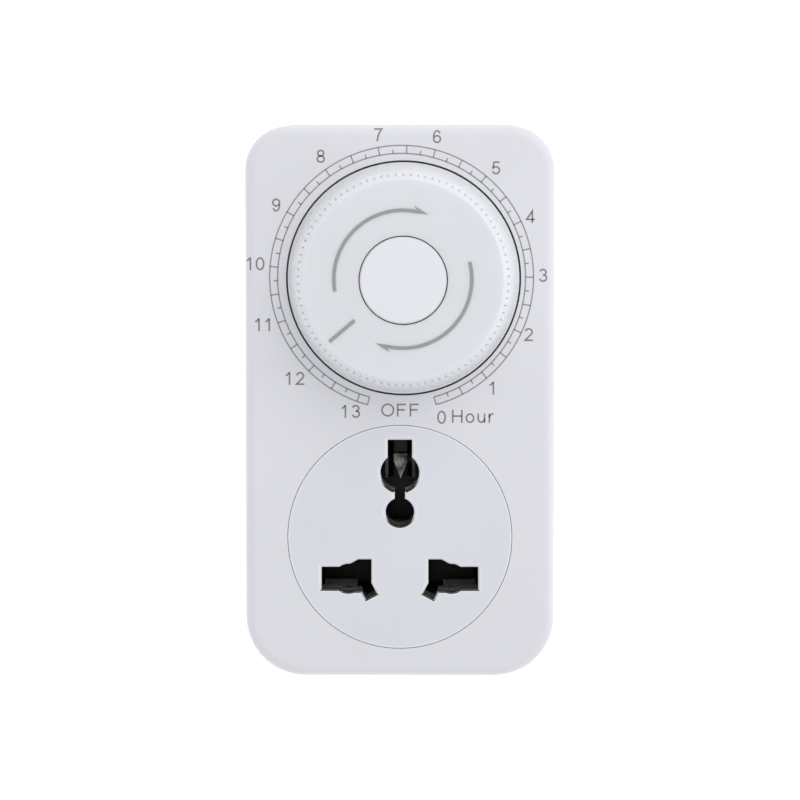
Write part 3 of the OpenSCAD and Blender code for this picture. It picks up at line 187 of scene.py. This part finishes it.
class Nodes:
    """A material's node tree, with short calls for the nodes used here."""

    def __init__(self, name):
        self.material = bpy.data.materials.new(name)
        self.material.use_nodes = True
        self.tree = self.material.node_tree
        self.shader = self.tree.nodes["Principled BSDF"]
        self.place = self.add("ShaderNodeTexCoord").outputs["Object"]

    def add(self, kind, **values):
        node = self.tree.nodes.new(kind)
        for name, value in values.items():
            setattr(node, name, value)
        return node

    def link(self, output, socket):
        self.tree.links.new(output, socket)

    def noise(self, size, detail=2.0, roughness=0.5):
        """Noise whose blotches are about as large as size, in metres."""
        node = self.add("ShaderNodeTexNoise")
        node.inputs["Scale"].default_value = 1 / size
        node.inputs["Detail"].default_value = detail
        node.inputs["Roughness"].default_value = roughness
        self.link(self.place, node.inputs["Vector"])
        return node.outputs["Fac"]

    def ramp(self, fac, low, high, start=0.3, end=0.7):
        """From low to high as fac goes from start to end, which by default span a noise's range."""
        node = self.add("ShaderNodeMapRange")
        node.inputs["From Min"].default_value = start
        node.inputs["From Max"].default_value = end
        node.inputs["To Min"].default_value = low
        node.inputs["To Max"].default_value = high
        self.link(fac, node.inputs["Value"])
        return node.outputs["Result"]

    def mix(self, fac, a, b):
        """Colour a where fac is 0 and b where it is 1; each is a colour or a node's output."""
        node = self.add("ShaderNodeMix", data_type="RGBA")
        self.link(fac, node.inputs[0])
        for socket, value in ((node.inputs[6], a), (node.inputs[7], b)):
            if isinstance(value, tuple):
                socket.default_value = (*value, 1)
            else:
                self.link(value, socket)
        return node.outputs[2]

    def bump(self, height, distance, edge=0.0):
        """Bump from a height, over edges that are softened by a small radius."""
        node = self.add("ShaderNodeBump")
        node.inputs["Distance"].default_value = distance
        self.link(height, node.inputs["Height"])
        if edge:
            bevel = self.add("ShaderNodeBevel", samples=4)
            bevel.inputs["Radius"].default_value = edge
            self.link(bevel.outputs["Normal"], node.inputs["Normal"])
        self.link(node.outputs["Normal"], self.shader.inputs["Normal"])

    def rim(self, reach):
        """From 0 on flat faces to 1 within reach of an edge, as the mask of a painted highlight."""
        bevel = self.add("ShaderNodeBevel", samples=6)
        bevel.inputs["Radius"].default_value = reach
        bend = self.add("ShaderNodeVectorMath", operation="DOT_PRODUCT")
        self.link(bevel.outputs["Normal"], bend.inputs[0])
        self.link(self.add("ShaderNodeNewGeometry").outputs["True Normal"], bend.inputs[1])
        return self.ramp(bend.outputs["Value"], 1.0, 0.0, 0.96, 0.999)

    def upward(self, start, end):
        """From 0 to 1 as a face turns to look up."""
        normal = self.add("ShaderNodeSeparateXYZ")
        self.link(self.add("ShaderNodeNewGeometry").outputs["True Normal"], normal.inputs["Vector"])
        return self.ramp(normal.outputs["Z"], 0.0, 1.0, start, end)

    def near(self, x, z, reach):
        """1 inside a circle about a point of the front, 0 outside."""
        offset = self.add("ShaderNodeVectorMath", operation="SUBTRACT")
        self.link(self.add("ShaderNodeNewGeometry").outputs["Position"], offset.inputs[0])
        offset.inputs[1].default_value = (x, 0, z)
        flat = self.add("ShaderNodeVectorMath", operation="MULTIPLY")
        self.link(offset.outputs["Vector"], flat.inputs[0])
        flat.inputs[1].default_value = (1, 0, 1)
        length = self.add("ShaderNodeVectorMath", operation="LENGTH")
        self.link(flat.outputs["Vector"], length.inputs[0])
        return self.ramp(length.outputs["Value"], 1.0, 0.0, reach, reach * 1.01)

    def both(self, a, b):
        """1 only where both masks are."""
        node = self.add("ShaderNodeMath", operation="MULTIPLY")
        self.link(a, node.inputs[0])
        self.link(b, node.inputs[1])
        return node.outputs["Value"]

    def crevice(self, reach, dark):
        """From 0 in gaps to 1 on open faces, as the mask of the shade painted there; dark is how open a point
        is at 0 and at 1.
        """
        node = self.add("ShaderNodeAmbientOcclusion", samples=8)
        node.inputs["Distance"].default_value = reach
        return self.ramp(node.outputs["AO"], 0.0, 1.0, *dark)

    def set(self, **values):
        """Values of the shader's own sockets, with _ for each space of a socket's name."""
        for name, value in values.items():
            self.shader.inputs[name.replace("_", " ")].default_value = value


def shade(color, by):
    return tuple(min(1.0, c * by) for c in color)


PAINTED_SHADE = (0.02, 0.02, 0.022)  # painted shade: the colour painted at the bottom of a narrow gap
GAP_REACH, CAVITY_REACH = 1.6 * MM, 8 * MM  # how far open a gap in plastic and a cavity round metal may be and still take painted shade
# painted highlight: the white laid along edges
EDGE_HIGHLIGHT_WHITE = (0.97, 0.97, 0.99)
# painted shade: the near-black laid on upward faces inside the socket's openings
SLOT_DARK = (0.05, 0.048, 0.046)


def plastic(name, color, rough=0.38, grain=0.25 * MM, depth=0.004 * MM, mottle=0.012, coat=0.0,
            edge=0.12 * MM, crevice=None, rim=None, slot_shade=None, top_light=None, glow=0.0):
    """Moulded plastic: a fine spark-eroded grain, faint flow marks in its colour, and uneven gloss.

    crevice paints shade into gaps, rim paints a white highlight on edges within that reach, grime paints
    near-black shade on upward faces inside a circle of x, z and radius, dust paints light in its colour on
    all upward faces, standing in for light and reflections from above, and glow is how much light goes
    through.
    """
    n = Nodes(name)
    flow = n.ramp(n.noise(22 * MM, 3.0, 0.6), 0, 1)
    surface = n.mix(flow, shade(color, 1 - mottle), shade(color, 1 + mottle))
    if crevice:
        # painted shade: the colour darkens in gaps
        surface = n.mix(n.crevice(GAP_REACH, crevice), PAINTED_SHADE, surface)
    if rim:
        # painted highlight: the colour whitens along edges
        surface = n.mix(n.rim(rim), surface, EDGE_HIGHLIGHT_WHITE)
    if slot_shade:
        # painted shade: upward faces inside the openings turn near-black
        surface = n.mix(n.both(n.upward(0.2, 0.5), n.near(*slot_shade)), surface, SLOT_DARK)
    if top_light:
        # painted light: upward faces take a lighter colour, standing in for light and reflections from above
        surface = n.mix(n.upward(0.1, 0.6), surface, top_light)
    n.link(surface, n.shader.inputs["Base Color"])
    n.link(n.ramp(n.noise(4 * MM, 2.0), rough - 0.05, rough + 0.05), n.shader.inputs["Roughness"])
    n.bump(n.noise(grain, 2.0, 0.6), depth, edge)
    n.set(IOR=1.5, Specular_IOR_Level=0.45, Coat_Weight=coat, Coat_Roughness=0.15)
    n.set(Subsurface_Weight=glow, Subsurface_Radius=(1, 1, 1), Subsurface_Scale=1.5 * MM)
    return n.material


def metal(name, color, rough=0.28, streak=(0.15 * MM, 4 * MM), depth=0.002 * MM, shadow=None,
          top_light=None, tarnish=(0.9, 1.04)):
    """Rolled or plated metal: fine lengthwise streaks in its gloss, and a slight tarnish.

    shadow paints shade into cavities, dust paints light in its colour on upward faces, standing in for light
    from above, and tarnish is how much of the colour the dullest and the brightest patches keep.
    """
    n = Nodes(name)
    mapping = n.add("ShaderNodeMapping")
    mapping.inputs["Scale"].default_value = (1, streak[0] / streak[1], 1)
    n.link(n.place, mapping.inputs["Vector"])
    streaks = n.add("ShaderNodeTexNoise")
    streaks.inputs["Scale"].default_value = 1 / streak[0]
    streaks.inputs["Detail"].default_value = 2
    n.link(mapping.outputs["Vector"], streaks.inputs["Vector"])
    surface = n.mix(n.ramp(n.noise(3 * MM, 3.0, 0.6), 0, 1), *(shade(color, by) for by in tarnish))
    if shadow:
        # painted shade: the colour darkens in cavities round the metal
        surface = n.mix(n.crevice(CAVITY_REACH, shadow), PAINTED_SHADE, surface)
    if top_light:
        # painted light: upward faces take a lighter colour and lose their metal gloss, standing in for light
        # from above
        surface = n.mix(n.upward(0.1, 0.6), surface, top_light)
        n.link(n.ramp(n.upward(0.1, 0.6), 1.0, 0.0, 0.0, 1.0), n.shader.inputs["Metallic"])
    n.link(surface, n.shader.inputs["Base Color"])
    n.link(n.ramp(streaks.outputs["Fac"], rough - 0.08, rough + 0.1), n.shader.inputs["Roughness"])
    n.bump(streaks.outputs["Fac"], depth, 0.06 * MM)
    n.set(Metallic=1.0)
    return n.material


def ink_material(name, color):
    """Printing ink: slightly uneven in its colour and gloss."""
    n = Nodes(name)
    n.link(n.mix(n.ramp(n.noise(0.5 * MM, 3.0, 0.7), 0, 1), shade(color, 0.92), shade(color, 1.1)),
           n.shader.inputs["Base Color"])
    n.link(n.ramp(n.noise(0.3 * MM), 0.45, 0.6), n.shader.inputs["Roughness"])
    return n.material


def paper_material(name, glow):
    """White paper, with enough light of its own that hardly a shadow shows on it."""
    n = Nodes(name)
    fibres = n.ramp(n.noise(30 * MM), 0, 1)
    n.link(n.mix(fibres, (0.97, 0.97, 0.97), (1, 1, 1)), n.shader.inputs["Base Color"])
    n.set(Roughness=0.9, Emission_Color=(1, 1, 1, 1), Emission_Strength=glow)
    return n.material


def dress_nodes():
    """Gives every CAD node its finish."""
    # the crevice settings paint shade into the gaps round the housing, the knob and its cap
    white = plastic("housing_white", (0.812, 0.812, 0.846), crevice=(0.1, 0.25))
    knob = plastic("knob_white", (0.82, 0.83, 0.86), rough=0.34, crevice=(0.0, 0.1), glow=0.6)
    cap = plastic("cap_white", (0.88, 0.885, 0.925), rough=0.34, crevice=(0.1, 0.25))
    # the insert's rim setting paints a white highlight along its edges, and its grime setting paints
    # near-black shade on its upward faces inside the openings
    insert = plastic("insert_white", (0.785, 0.79, 0.843), rough=0.36, edge=0.3 * MM, rim=0.6 * MM,
                     slot_shade=(SOCKET_X, SOCKET_Z, OPENINGS))
    # the dust setting here paints light on the insulator's upward faces, standing in for reflections of the
    # bright room
    black = plastic("insulator_black", (0.012, 0.012, 0.012), rough=0.16, depth=0.002 * MM, coat=0.3,
                    top_light=(0.5, 0.47, 0.44))
    carrier = plastic("carrier_black", (0.008, 0.008, 0.008), rough=0.3)
    sleeve = plastic("sleeve_black", (0.022, 0.022, 0.024), rough=0.45)
    natural = plastic("gear_natural", (0.78, 0.76, 0.66), rough=0.42)
    pawl = plastic("pawl_orange", (0.75, 0.27, 0.05), rough=0.4)
    grey = plastic("frame_grey", (0.38, 0.4, 0.42), rough=0.45)
    switch_body = plastic("switch_grey", (0.045, 0.045, 0.05), rough=0.4)
    plunger = plastic("plunger_red", (0.5, 0.03, 0.02), rough=0.35)
    # the shadow settings paint shade into the cavities round the pins and the contacts
    brass = metal("brass", (0.78, 0.57, 0.27), rough=0.25, shadow=(0.05, 0.3))
    nickel = metal("nickel", (0.68, 0.66, 0.62), rough=0.22)
    # the dust setting here paints light on the contacts' upward faces, standing in for light from above
    bronze = metal("contact_bronze", (0.16, 0.13, 0.1), rough=0.5, shadow=(0.2, 0.9), top_light=(0.42, 0.39, 0.36))
    polished = metal("contact_nickel", (0.75, 0.74, 0.72), rough=0.2, shadow=(0.1, 0.5), tarnish=(0.1, 1.2))
    steel = metal("steel", (0.6, 0.61, 0.63), rough=0.3)
    can = metal("motor_steel", (0.55, 0.55, 0.55), rough=0.38)
    brown = plastic("brown_lead", (0.12, 0.05, 0.02), rough=0.42)
    red = plastic("red_lead", (0.45, 0.03, 0.02), rough=0.42)
    blue = plastic("blue_lead", (0.03, 0.09, 0.4), rough=0.42)
    finishes = {
        white: ["front_housing", "rear_housing"],
        knob: ["knob"],
        cap: ["knob_cap"],
        insert: ["socket_face"],
        black: ["socket_insulator"],
        carrier: ["pin_carrier"],
        sleeve: ["pin_sleeves"],
        natural: ["dial_gear", "idler_gear", "switch_cam", "dial_spindle"],
        pawl: ["ratchet_pawls"],
        grey: ["timer_frame", "motor_gearbox"],
        switch_body: ["microswitch_case"],
        plunger: ["switch_plunger"],
        brass: ["line_pin", "neutral_pin", "earth_pin"],
        nickel: ["switch_terminals"],
        bronze: ["line_contact", "neutral_contact"],
        polished: ["earth_contact"],
        steel: ["housing_screws", "knob_screw", "frame_screws", "motor_screws", "insulator_screws",
                "carrier_screws", "idler_arbor", "spindle_clip", "lever_pin", "motor_pinion", "switch_lever"],
        can: ["motor_can"],
        brown: ["line_lead"],
        red: ["switched_lead"],
        blue: ["motor_leads"],
    }
    for material, names in finishes.items():
        for name in names:
            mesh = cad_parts[name].data
            mesh.materials.clear()
            mesh.materials.append(material)


# ---------- printing: strokes laid on a surface that looks towards -Y ----------


def surface_of(name):
    """A search tree of a CAD node's faces, in the scene's frame."""
    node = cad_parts[name]
    verts = [node.matrix_world @ v.co for v in node.data.vertices]
    return BVHTree.FromPolygons(verts, [list(p.vertices) for p in node.data.polygons])


class Print:
    """Thin strokes laid on the front of a CAD node, gathered into one mesh."""

    def __init__(self, name, node, body, slot, material):
        self.name, self.body, self.slot, self.material = name, body, slot, material
        self.surface = surface_of(node)
        self.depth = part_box(node)[0].y
        self.verts, self.faces = [], []

    def lay(self, x, z):
        """The depth of the surface behind a point, where a line from the front first meets it."""
        place = self.surface.ray_cast(Vector((x, self.depth - MM, z)), Vector((0, 1, 0)))[0]
        return place.y if place else self.depth + EDGE

    def add_points(self, points):
        """Adds the front and the back corner of the ink at each point; returns the first one's number."""
        base = len(self.verts)
        depths = [self.lay(x, z) for x, z in points]
        self.verts += [(x, depth - INK, z) for (x, z), depth in zip(points, depths)]
        self.verts += [(x, depth, z) for (x, z), depth in zip(points, depths)]
        return base

    def outline(self, points):
        """A filled outline, as a thin plate. Points run anticlockwise as seen from the front."""
        count = len(points)
        base = self.add_points(points)
        self.faces.append([base + i for i in range(count)])
        self.faces.append([base + count + i for i in reversed(range(count))])
        for i in range(count):
            j = (i + 1) % count
            self.faces.append([base + j, base + i, base + count + i, base + count + j])

    def stroke(self, points, width, closed=False):
        """A line of one width along points, mitred at its bends."""
        count = len(points)
        points = [Vector(p) for p in points]
        left, right = [], []
        for i, p in enumerate(points):
            before = p - points[i - 1] if closed or i > 0 else points[1] - points[0]
            after = points[(i + 1) % count] - p if closed or i < count - 1 else p - points[i - 1]
            normals = [Vector((-d.y, d.x)).normalized() for d in (before, after)]
            side = normals[0] + normals[1]
            side = side * width / side.length_squared
            left.append(p + side)
            right.append(p - side)
        base = self.add_points([(p.x, p.y) for p in right + left])
        top_r, top_l, low_r, low_l = (base + k * count for k in range(4))
        for i in range(count if closed else count - 1):
            j = (i + 1) % count
            self.faces.append([top_r + i, top_r + j, top_l + j, top_l + i])
            self.faces.append([low_r + j, low_r + i, low_l + i, low_l + j])
            self.faces.append([top_r + j, top_r + i, low_r + i, low_r + j])
            self.faces.append([top_l + i, top_l + j, low_l + j, low_l + i])
        if not closed:
            last = count - 1
            self.faces.append([top_r, top_l, low_l, low_r])
            self.faces.append([top_l + last, top_r + last, low_r + last, low_l + last])

    def finish(self):
        mesh = bpy.data.meshes.new(self.name)
        mesh.from_pydata(self.verts, [], self.faces)
        mesh.materials.append(self.material)
        piece = bpy.data.objects.new(self.name, mesh)
        bpy.context.scene.collection.objects.link(piece)
        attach(piece, self.body)


def arc(middle, radii, start, end, steps=24):
    """Points along an ellipse, angles in degrees anticlockwise from +X."""
    angles = [math.radians(start + (end - start) * i / steps) for i in range(steps + 1)]
    return [(middle[0] + radii[0] * math.cos(a), middle[1] + radii[1] * math.sin(a)) for a in angles]


def loop(middle, radii, steps=40):
    """A whole ellipse, for a closed stroke."""
    return arc(middle, radii, 0, 360, steps)[:-1]


# Thin sans-serif glyphs one unit high: width, then strokes, where a closed stroke is marked by True
GLYPHS = {
    "0": (0.777, [(loop((0.387, 0.5), (0.28, 0.453)), True)]),
    "1": (0.777, [([(0.165, 0.72), (0.31, 0.8), (0.43, 0.96)], False),
                  ([(0.458, 1.0), (0.458, 0.0)], False)]),
    "2": (0.777, [(arc((0.375, 0.7), (0.262, 0.253), 170, -36) + [(0.1, 0.058), (0.7, 0.058)], False)]),
    "3": (0.777, [(arc((0.362, 0.735), (0.232, 0.218), 165, -88), False),
                  (arc((0.372, 0.288), (0.267, 0.235), 92, -168), False)]),
    "4": (0.777, [([(0.515, 0.0), (0.515, 0.93), (0.075, 0.285), (0.71, 0.285)], False)]),
    "5": (0.777, [([(0.655, 0.94), (0.22, 0.94), (0.135, 0.49)]
                   + arc((0.372, 0.322), (0.27, 0.267), 145, -164), False)]),
    "6": (0.777, [(loop((0.395, 0.315), (0.26, 0.258)), True),
                  (arc((0.4, 0.5), (0.27, 0.453), 187, 34), False)]),
    "7": (0.777, [([(0.07, 0.94), (0.68, 0.94), (0.5, 0.7), (0.38, 0.4), (0.31, 0.0)], False)]),
    "8": (0.777, [(loop((0.387, 0.738), (0.227, 0.215)), True),
                  (loop((0.387, 0.29), (0.267, 0.24)), True)]),
    "9": (0.777, [(loop((0.38, 0.685), (0.26, 0.258)), True),
                  (arc((0.375, 0.5), (0.27, 0.453), 7, -146), False)]),
    "O": (1.087, [(loop((0.56, 0.5), (0.45, 0.453)), True)]),
    "F": (0.853, [([(0.177, 0.0), (0.177, 0.94), (0.815, 0.94)], False),
                  ([(0.177, 0.515), (0.735, 0.515)], False)]),
    "H": (1.009, [([(0.154, 0.0), (0.154, 1.0)], False), ([(0.852, 0.0), (0.852, 1.0)], False),
                  ([(0.154, 0.525), (0.852, 0.525)], False)]),
    "o": (0.777, [(loop((0.387, 0.362), (0.283, 0.316)), True)]),
    "u": (0.777, [([(0.15, 0.725)] + arc((0.385, 0.295), (0.235, 0.245), 180, 330, 12)
                   + [(0.64, 0.31)], False),
                  ([(0.642, 0.725), (0.642, 0.0)], False)]),
    "r": (0.465, [([(0.15, 0.725), (0.15, 0.0)], False),
                  (arc((0.4, 0.4), (0.25, 0.29), 178, 76, 10), False)]),
}
STROKE = 0.125  # stroke width, as a share of the height of a capital
TRACKING = 0.09  # what is added between two letters
KERNING = {"10": -0.04, "11": -0.07, "12": 0.04, "13": 0.03, "OF": -0.02, "FF": 0.05}  # and for some pairs


def placed(text):
    """Each stroke of a line of text, with x from the line's start, in units of the height."""
    at = 0
    for i, letter in enumerate(text):
        width, strokes = GLYPHS[letter]
        for points, closed in strokes:
            yield [(at + x, z) for x, z in points], closed
        at += width + TRACKING + KERNING.get(text[i:i + 2], 0)


def finer(points, closed, step=0.25 * MM):
    """The same line with more points on it, so that it can follow a rounded surface."""
    fine = []
    for start, end in zip(points, points[1:] + points[:1] if closed else points[1:]):
        count = max(1, math.ceil(math.dist(start, end) / step))
        fine += [tuple(Vector(start).lerp(end, k / count)) for k in range(count)]
    return fine if closed else fine + [points[-1]]


def write_centred(printed, text, place, height):
    """Text whose inked middle stands at a place given in millimetres."""
    strokes = list(placed(text))
    across = [x for points, closed in strokes for x, z in points]
    left = place[0] * MM - height * (min(across) + max(across)) / 2
    base = place[1] * MM - height / 2
    for points, closed in strokes:
        points = [(left + x * height, base + z * height) for x, z in points]
        printed.stroke(finer(points, closed), STROKE * height, closed)


# ---------- the scale round the dial ----------

HOURS = 13
DEG_PER_HOUR = 25
ZERO_DEG = 164.8  # where hour 0 stands, clockwise from the top
SCALE_END_DEG = 195.0
BAND_IN, BAND_OUT = 23.3 * MM, 24.8 * MM  # radii of the scale's two rings
QUARTER_TICK = 0.75 * MM  # length of the ticks between half hours
DIGIT = 2.42 * MM  # height of the numbers and of OFF
UNIT_SIZE = 2.44 * MM
# Where the middle of the numbers 0 to 13 stands, sideways and above the pins, in millimetres
LABELS = [(7.87, 30.46), (17.25, 35.98), (24.31, 46.07), (26.93, 57.22), (24.57, 68.24), (18.06, 77.39),
          (6.98, 83.23), (-4.1, 83.6), (-14.84, 79.56), (-23.22, 70.43), (-27.2, 59.38), (-25.89, 47.91),
          (-19.74, 37.78), (-9.3, 31.58)]
OFF_LABEL = (0.09, 31.83)
UNIT_LABEL = (13.8, 30.64)
SCALE_MIDDLE = (DIAL_X - 0.38 * MM, DIAL_Z + 0.1 * MM)  # the printing stands a little off the knob's axis


def clock_point(middle, radius, clock_deg):
    """A point on a circle, by its angle clockwise from the top."""
    a = math.radians(clock_deg)
    return middle[0] + radius * math.sin(a), middle[1] + radius * math.cos(a)


def clock_arc(middle, radius, start, end, step=1.5):
    count = max(2, round(abs(end - start) / step))
    return [clock_point(middle, radius, start + (end - start) * i / count) for i in range(count + 1)]


def hour_deg(hour):
    return ZERO_DEG - DEG_PER_HOUR * hour


def print_scale(ink):
    """Two rings, closed at both ends, with a line across each half hour and a tick at each quarter."""
    scale = Print("dial_scale", "front_housing", "housing", "housing_plastic", ink)
    start, end = ZERO_DEG, SCALE_END_DEG - 360
    for radius in (BAND_IN, BAND_OUT):
        scale.stroke(clock_arc(SCALE_MIDDLE, radius, start, end), LINE)
    for deg in [start, end] + [hour_deg(half / 2) for half in range(1, 2 * HOURS + 1)]:
        scale.stroke([clock_point(SCALE_MIDDLE, r, deg) for r in (BAND_IN, BAND_OUT)], LINE)
    for half in range(2 * HOURS):
        deg = hour_deg(half / 2 + 0.25)
        scale.stroke([clock_point(SCALE_MIDDLE, r, deg) for r in (BAND_IN, BAND_IN + QUARTER_TICK)], LINE)
    scale.finish()


def print_lettering(ink):
    """The hours' numbers, the switch position and the scale's unit."""
    words = Print("dial_lettering", "front_housing", "housing", "housing_plastic", ink)
    for hour, place in enumerate(LABELS):
        write_centred(words, str(hour), place, DIGIT)
    write_centred(words, "OFF", OFF_LABEL, DIGIT)
    write_centred(words, "Hour", UNIT_LABEL, UNIT_SIZE)
    words.finish()


# ---------- the marks on the knob ----------

POINTER_DEG = 229.6
POINTER_REACH = (11.8 * MM, 17.9 * MM)
ARROW_R = 12.8 * MM  # radius of the arrows' lines
MARK_WIDTH = 0.66 * MM
ARROWS = [(259.8, 382.2), (75.2, 203.6)]  # each arrow's start and tip, clockwise from the top
HEAD_DEG = 13.6  # how far behind the tip the barb stands
NECK_DEG = 10.6  # and how far behind it the back of the head meets the line
BARB_R = 13.8 * MM  # radius at which the barb ends
TIP_OUT = 0.1 * MM  # how far the tip lies outside the line's middle
MARKS_MIDDLE = (DIAL_X - 0.08 * MM, DIAL_Z + 0.2 * MM)  # the marks, too, stand a little off the axis
HEAD_STEPS = 4  # points along the inner side of an arrow's head


def print_knob_marks(ink):
    """Two clockwise arrows, each an arc with half a head, and the pointer."""
    marks = Print("knob_marks", "knob", "knob", "knob_plastic", ink)
    middle = MARKS_MIDDLE
    inner, outer = ARROW_R - MARK_WIDTH / 2, ARROW_R + MARK_WIDTH / 2
    rise = ARROW_R + TIP_OUT - inner
    for start, tip in ARROWS:
        neck = tip - NECK_DEG
        marks.stroke(clock_arc(middle, ARROW_R, start, neck, 2), MARK_WIDTH)
        head = []
        for k in range(HEAD_STEPS + 1):
            part = k / HEAD_STEPS
            head.append(clock_point(middle, inner + rise * part, neck + NECK_DEG * part))
        head += [clock_point(middle, BARB_R, tip - HEAD_DEG), clock_point(middle, outer, neck)]
        marks.outline(list(reversed(head)))
    marks.stroke([clock_point(middle, r, POINTER_DEG) for r in POINTER_REACH], MARK_WIDTH)
    marks.finish()


add_camera()
add_studio()
dress_nodes()
print_scale(ink_material("scale_ink", SCALE_INK))
print_lettering(ink_material("letter_ink", LETTER_INK))
print_knob_marks(ink_material("mark_ink", MARK_INK))
